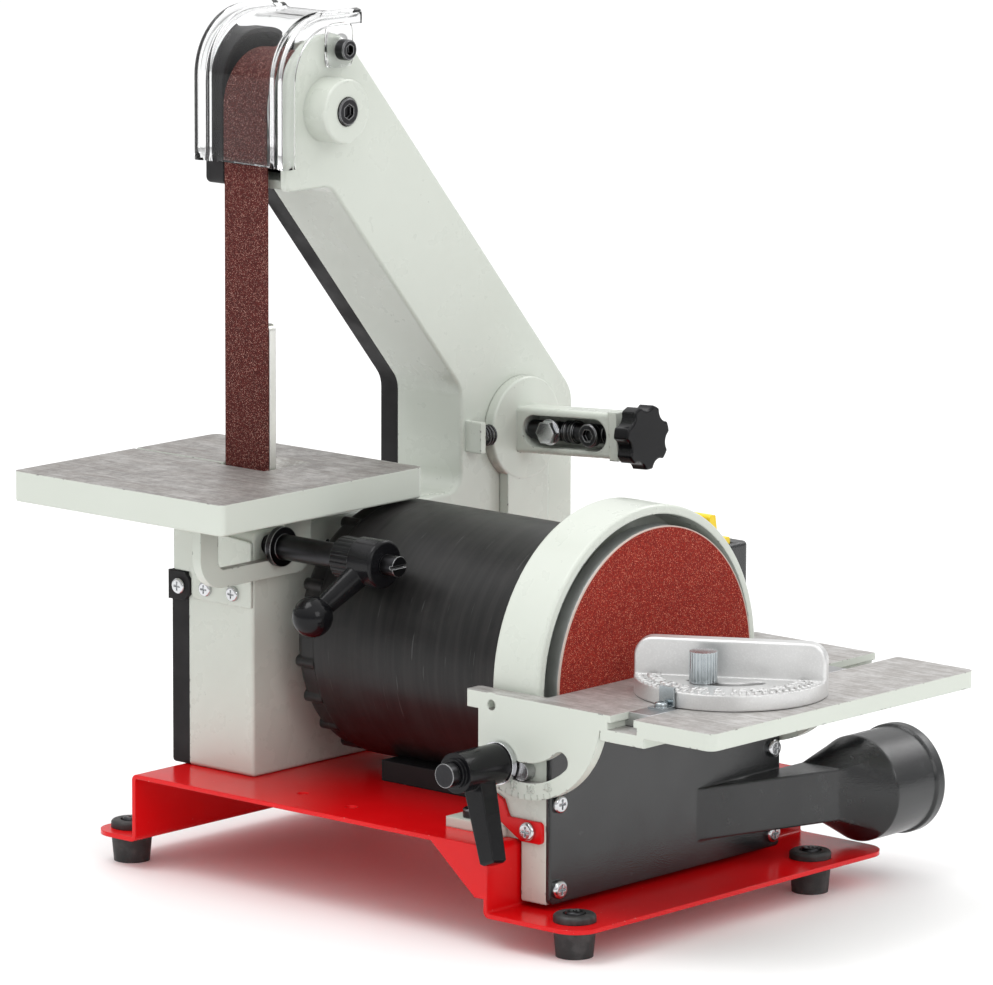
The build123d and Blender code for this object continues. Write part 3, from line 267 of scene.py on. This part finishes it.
MOTOR_AXIS = Vector((0.0, -10.75, 105.0)) * MM
DISC_RADIUS = 63.5 * MM
PALE, PALE_SHADE = (0.600, 0.634, 0.575), (0.576, 0.610, 0.550)
pale_paint = paint("pale_enamel", PALE, PALE_SHADE, 0.30)
red_paint = paint("red_powder_coat", (0.72, 0.004, 0.006), (0.64, 0.003, 0.005), 0.20, 520.0, 0.00002,
                  (0.62, 0.20, 0.18), 0.66, 0.0008, 0.0, 0.28)
black_paint = paint("black_enamel", (0.019, 0.018, 0.019), (0.025, 0.024, 0.025), 0.55, 700.0, 0.00001,
                    (0.09, 0.09, 0.09), 0.62, 0.0010, 0.0, 0.16)
motor_paint = motor_enamel("motor_enamel")
black_plastic = plastic("black_plastic", (0.010, 0.011, 0.012), (0.016, 0.017, 0.018), 0.22, 1500.0, 0.00006,
                        0.0016, 0.15, 0.6)
knob_plastic = plastic("knob_plastic", (0.004, 0.004, 0.005), (0.007, 0.007, 0.008), 0.16, 1800.0, 0.00002,
                       0.0008, 0.08, 0.22, (0.05, 0.05, 0.05))
yellow_plastic = plastic("yellow_plastic", (0.90, 0.66, 0.02), (0.84, 0.58, 0.02), 0.35, 1800.0, 0.00003,
                         0.0008, 0.15, 0.4, (0.75, 0.62, 0.25))
black_steel = metal("black_oxide", (0.040, 0.040, 0.043), (0.022, 0.020, 0.020), 0.30)
zinc = metal("bright_zinc", (0.62, 0.63, 0.65), (0.40, 0.40, 0.39), 0.18)
dull_zinc = metal("dull_zinc", (0.40, 0.44, 0.46), (0.24, 0.27, 0.28), 0.22, None, 0.0002)
steel = metal("ground_steel", (0.50, 0.50, 0.51), (0.34, 0.33, 0.32), 0.28, (40.0, 2000.0, 2000.0))
plated = metal("plated_sheet", (0.74, 0.74, 0.70), (0.60, 0.60, 0.56), 0.34, (1500.0, 1500.0, 60.0))
wheel_metal = metal("machined_casting", (0.62, 0.63, 0.64), (0.46, 0.46, 0.46), 0.34, (1800.0, 200.0, 200.0))
copper = metal("copper_windings", (0.62, 0.28, 0.12), (0.36, 0.33, 0.31), 0.4)
aluminium = cast_aluminium("die_cast_aluminium", (0.74, 0.74, 0.735), (0.66, 0.66, 0.655))
belt_grit = abrasive("belt_grit", (0.115, 0.020, 0.016), (0.045, 0.009, 0.008), (0.78, 0.44, 0.36), 2400.0)
disc_grit = abrasive("disc_grit", (0.34, 0.026, 0.014), (0.20, 0.013, 0.009), (0.80, 0.26, 0.16), 2100.0,
                     MOTOR_AXIS, DISC_RADIUS, 0.1)
clear = clear_plastic("clear_polycarbonate")
black_rubber = rubber("black_rubber")
belt_table_casting = ground_casting("ground_belt_table", PALE, PALE_SHADE,
                                    (0.47, 0.455, 0.44), (0.26, 0.245, 0.235), 0.7)
disc_table_casting = ground_casting("ground_disc_table", PALE, PALE_SHADE,
                                    (0.58, 0.57, 0.56), (0.42, 0.405, 0.39), 0.45)

FINISHES = {
    pale_paint: ["belt_frame", "tension_arm", "disc_guard", "front_plate"],
    red_paint: ["base_plate", "scale_pointer"],
    black_paint: ["side_cover", "motor_foot"],
    motor_paint: ["motor_housing", "motor_end_bell"],
    black_plastic: ["dust_chute", "switch_case", "motor_fan"],
    knob_plastic: ["tracking_knob", "belt_table_lever", "disc_lever_front", "disc_lever_rear"],
    yellow_plastic: ["switch_rocker"],
    black_steel: ["top_axle", "tension_spring", "table_lock_bolt", "table_lock_spacer", "tracking_shaft",
                  "socket_screws", "disc_lock_bolts", "foot_screws"],
    zinc: ["cover_screws", "base_bolts", "platen_screws", "tension_pivot_bolt",
           "chute_screws", "disc_lock_washers", "drive_wheel_nut", "tracking_bolts"],
    dull_zinc: ["miter_index", "miter_knob"],
    steel: ["table_pivot_pin", "motor_bearings", "disc_guide_pins", "motor_rotor", "motor_shaft",
            "top_wheel_bearings", "rear_wheel_bearings", "rear_axle", "miter_bar", "miter_studs"],
    plated: ["platen", "platen_bracket"],
    wheel_metal: ["drive_wheel", "disc_plate", "top_wheel", "rear_wheel"],
    copper: ["motor_stator"],
    aluminium: ["miter_head"],
    belt_grit: ["sanding_belt"],
    disc_grit: ["abrasive_disc"],
    black_rubber: ["rubber_feet"],
    belt_table_casting: ["belt_table"],
    disc_table_casting: ["disc_table"],
}
for material, names in FINISHES.items():
    for name in names:
        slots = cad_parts[name].data.materials
        slots.clear()
        slots.append(material)


# ---- clear guard over the top wheel ---------------------------------------------------------
BELT_X, BELT_Y = -115.5, -56.75   # belt centre and belt face in the shared frame, millimetres


def link(name, mesh, material, body):
    """Add a mesh as a piece that rides on a body."""
    piece = bpy.data.objects.new(name, mesh)
    mesh.materials.append(material)
    bpy.context.scene.collection.objects.link(piece)
    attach(piece, body)
    return piece


def lofted(name, rings, material):
    """Closed skin over rings of points in millimetres, fixed to the frame."""
    mesh = bmesh.new()
    loops = [[mesh.verts.new(point * MM) for point in ring] for ring in rings]
    for before, after in zip(loops, loops[1:]):
        for i in range(len(before)):
            j = (i + 1) % len(before)
            mesh.faces.new((before[i], before[j], after[j], after[i]))
    mesh.faces.new(list(reversed(loops[0])))
    mesh.faces.new(loops[-1])
    bmesh.ops.recalc_face_normals(mesh, faces=mesh.faces)
    for face in mesh.faces:
        face.smooth = len(face.verts) == 4
    data = bpy.data.meshes.new(name)
    mesh.to_mesh(data)
    return link(name, data, material, "root")


def smooth_line(points, steps=4):
    """Points along a soft curve that passes through the given ones."""
    line = []
    for i in range(len(points) - 1):
        before, start = points[max(i - 1, 0)], points[i]
        end, after = points[i + 1], points[min(i + 2, len(points) - 1)]
        for k in range(steps):
            t = k / steps
            line.append(0.5 * ((2 * start) + (end - before) * t
                               + (2 * before - 5 * start + 4 * end - after) * t ** 2
                               + (3 * start - before - 3 * end + after) * t ** 3))
    return line + [points[-1]]


GUARD_X = BELT_X + 0.5            # middle of the guard, across the belt


def guard_section():
    """Section across the guard: distance from its middle and depth below its outer face.

    Each side has a broad outer bead and a narrow inner one, with a flat panel between the sides."""
    outside = [(0.0, 2.8), (8.0, 2.8), (15.5, 2.8), (17.4, 1.5), (19.0, 0.9), (20.4, 1.7), (21.4, 2.0),
               (22.6, 0.8), (24.6, 0.0), (27.0, 0.5), (28.0, 2.4), (28.0, 6.5)]
    inside = [(26.0, 6.5), (25.9, 3.4), (24.6, 2.4), (22.8, 3.3), (21.0, 4.2), (19.0, 3.0), (17.2, 3.6),
              (15.0, 4.6), (8.0, 4.6), (0.0, 4.6)]
    right = smooth_line([Vector(p) for p in outside]) + smooth_line([Vector(p) for p in inside])
    left = [Vector((-p.x, p.y)) for p in reversed(right[1:-1])]
    return right + left


def guard_path():
    """Stations up the front and over the top: position (y, z) and inward direction."""
    front, top, bend = -5.0, 378.0, 30.0        # outer faces, and radius of the corner between them
    low, back = 311.0, 44.0                     # lower end of the front and rear end of the top
    upright, corner, flat = 6, 18, 3            # steps along each stretch
    stations = [((front, low + (top - bend - low) * i / upright), (1.0, 0.0)) for i in range(upright)]
    for i in range(corner + 1):
        turn = radians(90.0 * i / corner)
        inward = (cos(turn), -sin(turn))
        stations.append(((front + bend - bend * cos(turn), top - bend + bend * sin(turn)), inward))
    start = front + bend
    return stations + [((start + (back - start) * i / flat, top), (0.0, -1.0)) for i in range(1, flat + 1)]


def make_guard():
    section = guard_section()
    rings = []
    for (y, z), (inward_y, inward_z) in guard_path():
        rings.append([Vector((GUARD_X + point.x, BELT_Y + y + point.y * inward_y, z + point.y * inward_z))
                      for point in section])
    return lofted("guard_shell", rings, clear)


def make_guard_lug():
    """Rounded ear beside the frame's head that takes the guard's screw."""
    hole_y, hole_z, hole = 31.0, 361.0, 2.4                       # place and radius of the hole
    faces = ((25.3, 0.5), (25.8, 0.0), (27.9, 0.0), (28.5, 0.6))  # x of each ring and its bevel
    half, above, below = 8.0, 11.6, 8.0                           # reach sideways, up and down
    steps = 64
    mesh = bmesh.new()
    loops = []
    for x, trim in faces:
        outer, inner = [], []
        for i in range(steps):
            turn = 2 * pi * i / steps
            # a square with soft corners, taller above the hole, where it joins the shell
            reach = (abs(cos(turn)) ** 5 + abs(sin(turn)) ** 5) ** -0.2
            tall = above if sin(turn) > 0 else below
            y = hole_y + (half - trim) * reach * cos(turn)
            z = hole_z + (tall - trim) * reach * sin(turn)
            outer.append(mesh.verts.new(Vector((BELT_X + x, BELT_Y + y, z)) * MM))
            y, z = hole_y + hole * cos(turn), hole_z + hole * sin(turn)
            inner.append(mesh.verts.new(Vector((BELT_X + x, BELT_Y + y, z)) * MM))
        loops.append((outer, inner))
    for (outer_a, inner_a), (outer_b, inner_b) in zip(loops, loops[1:]):
        for i in range(steps):
            j = (i + 1) % steps
            mesh.faces.new((outer_a[i], outer_a[j], outer_b[j], outer_b[i]))
            mesh.faces.new((inner_a[j], inner_a[i], inner_b[i], inner_b[j]))
    for outer, inner in (loops[0], loops[-1]):
        for i in range(steps):
            j = (i + 1) % steps
            mesh.faces.new((outer[i], outer[j], inner[j], inner[i]))
    bmesh.ops.recalc_face_normals(mesh, faces=mesh.faces)
    for face in mesh.faces:
        face.smooth = True
    data = bpy.data.meshes.new("guard_lug")
    mesh.to_mesh(data)
    return link("guard_lug", data, clear, "root")


guard = make_guard()
make_guard_lug()
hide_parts("top_guard")


# ---- tension spring ------------------------------------------------------------------------
def make_spring():
    """Coil between the frame's lug and the tension arm."""
    pitch, turns, coil, wire = 1.9, 3.8, 4.2, 0.6
    start = Vector((BELT_X + 30.2, BELT_Y + 121.3, 178.0))
    stations, sides = 168, 12
    rings = []
    for i in range(stations + 1):
        turn = 2 * pi * turns * i / stations
        spoke = Vector((cos(turn), 0.0, sin(turn)))
        middle = start + coil * spoke + Vector((0.0, pitch * turns * i / stations, 0.0))
        ring = []
        for k in range(sides):
            around = 2 * pi * k / sides
            ring.append(middle + wire * (cos(around) * spoke + sin(around) * Vector((0.0, 1.0, 0.0))))
        rings.append(ring)
    return lofted("spring_coil", rings, black_steel)


spring = make_spring()
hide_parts("tension_spring")
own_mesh(spring)


# ---- raised scales on the castings -----------------------------------------------------------
def raised(name, marks, height, material, body):
    """One piece made of figures and ticks that stand out by height, each placed by its own matrix."""
    mesh = bmesh.new()
    for text, size, matrix in marks:
        curve = bpy.data.curves.new("figure", "FONT")
        curve.body = text
        curve.align_x = "CENTER"
        curve.align_y = "CENTER"
        curve.size = size
        curve.offset = 0.15 * MM
        curve.extrude = 0.8 * height
        curve.bevel_depth = 0.2 * height
        holder = bpy.data.objects.new("figure", curve)
        part = bpy.data.meshes.new_from_object(holder)
        part.transform(matrix)
        mesh.from_mesh(part)
        bpy.data.objects.remove(holder)
        bpy.data.curves.remove(curve)
        bpy.data.meshes.remove(part)
    data = bpy.data.meshes.new(name)
    mesh.to_mesh(data)
    return link(name, data, material, body)


def miter_scale():
    """Degree figures and ticks on the top of the miter head, outside its slot."""
    rest, tick_radius, figure_radius, lift = 30, 38.7, 33.0, 0.2  # lift clears the head's face
    pivot = Matrix.Translation(Vector((BELT_X + 250.25, BELT_Y + 33.5, 113.0)) * MM)
    marks = []
    for degrees in range(-75, 76, 5):
        turn = pivot @ Matrix.Rotation(radians(rest + degrees), 4, "Z")
        marks.append(("|", 3.4 * MM, turn @ Matrix.Translation(Vector((0, -tick_radius, lift)) * MM)))
        if degrees % 15 == 0:
            place = Matrix.Translation(Vector((0, -figure_radius, lift)) * MM)
            marks.append((str(abs(degrees)), 7.0 * MM, turn @ place))
    return raised("miter_scale", marks, 0.75 * MM, aluminium, "miter_head")


def tilt_scale():
    """Degree figures and ticks along the rim of the disc table's front quadrant.

    They lie outside its arc slot and stand low enough to pass under the clamp's washer."""
    first, tick_radius, figure_radius = 24, 41.1, 38.0   # first is where the zero stands, in degrees
    centre = Matrix.Translation(Vector((BELT_X + 196.0, BELT_Y - 37.5, 105.5)) * MM)
    upright = Matrix.Rotation(radians(90), 4, "X")
    marks = []
    for degrees in range(0, 46, 5):
        turn = centre @ Matrix.Rotation(radians(first - degrees), 4, "Y") @ upright
        marks.append(("|", 2.2 * MM, turn @ Matrix.Translation(Vector((0, -tick_radius, 0)) * MM)))
        if degrees % 15 == 0:
            place = Matrix.Translation(Vector((0, -figure_radius, 0)) * MM)
            marks.append((str(degrees), 4.6 * MM, turn @ place))
    return raised("tilt_scale", marks, 0.2 * MM, pale_paint, "disc_table")


miter_scale()
tilt_scale()


# ---- floor, light and camera --------------------------------------------------------------
def make_floor():
    mesh = bpy.data.meshes.new("floor")
    half = 15.0
    corners = [(-half, -half, 0), (half, -half, 0), (half, half, 0), (-half, half, 0)]
    mesh.from_pydata(corners, [], [(0, 1, 2, 3)])
    floor = bpy.data.objects.new("floor", mesh)
    bpy.context.scene.collection.objects.link(floor)
    s = Shader("studio_floor")
    tone = s.mix(s.noise(2.0, 2.0), (0.93, 0.93, 0.93), (0.95, 0.95, 0.95))
    mesh.materials.append(s.finish(tone, 0.55))


def area_light(name, place, target, size, power):
    light = bpy.data.lights.new(name, "AREA")
    light.shape = "RECTANGLE"
    light.size, light.size_y = size
    light.energy = power
    holder = bpy.data.objects.new(name, light)
    holder.location = place
    holder.rotation_euler = (Vector(target) - Vector(place)).to_track_quat("-Z", "Y").to_euler()
    bpy.context.scene.collection.objects.link(holder)


def make_lights():
    world = bpy.data.worlds.new("studio")
    world.use_nodes = True
    tree = world.node_tree
    sky = tree.nodes.new("ShaderNodeSeparateXYZ")
    ramp = tree.nodes.new("ShaderNodeMapRange")
    tree.links.new(tree.nodes.new("ShaderNodeTexCoord").outputs["Generated"], sky.inputs["Vector"])
    tree.links.new(sky.outputs["Z"], ramp.inputs["Value"])
    # the studio is dimmer towards the horizon and bright overhead
    for key, value in (("From Min", 0.0), ("From Max", 0.8), ("To Min", 0.42), ("To Max", 1.30)):
        ramp.inputs[key].default_value = value
    tree.links.new(ramp.outputs["Result"], tree.nodes["Background"].inputs["Strength"])
    tree.nodes["Background"].inputs["Color"].default_value = (1.0, 1.0, 1.0, 1.0)
    bpy.context.scene.world = world
    middle = (0.0, 0.0, 0.18)   # about the middle of the machine
    for name, place, size, power in (("key", (-0.5, -0.8, 2.3), (1.2, 1.2), 18.0),
                                     ("fill", (2.2, -0.7, 1.2), (1.0, 1.0), 9.0),
                                     ("back", (0.6, 1.8, 1.8), (1.6, 0.8), 12.0)):
        area_light(name, place, middle, size, power)


def make_camera():
    """The photograph's viewing angle, from the fit of the outline."""
    azimuth, elevation, roll = radians(41.47), radians(10.42), radians(0.22)
    place, lens = (2.0173, -2.3036, 0.7348), 259.0
    forward = Vector((-sin(azimuth) * cos(elevation), cos(azimuth) * cos(elevation), -sin(elevation)))
    right = Vector((cos(azimuth), sin(azimuth), 0.0))
    up = right.cross(forward)
    turned_right = cos(roll) * right + sin(roll) * up
    turned_up = cos(roll) * up - sin(roll) * right
    camera = bpy.data.objects.new("camera", bpy.data.cameras.new("camera"))
    camera.data.lens = lens
    camera.data.sensor_width = 36.0
    camera.data.clip_end = 60.0
    turn = Matrix((turned_right, turned_up, -forward)).transposed()
    camera.matrix_world = Matrix.Translation(place) @ turn.to_4x4()
    bpy.context.scene.collection.objects.link(camera)
    bpy.context.scene.camera = camera


bpy.context.scene.view_settings.view_transform = "Standard"
make_floor()
make_lights()
make_camera()
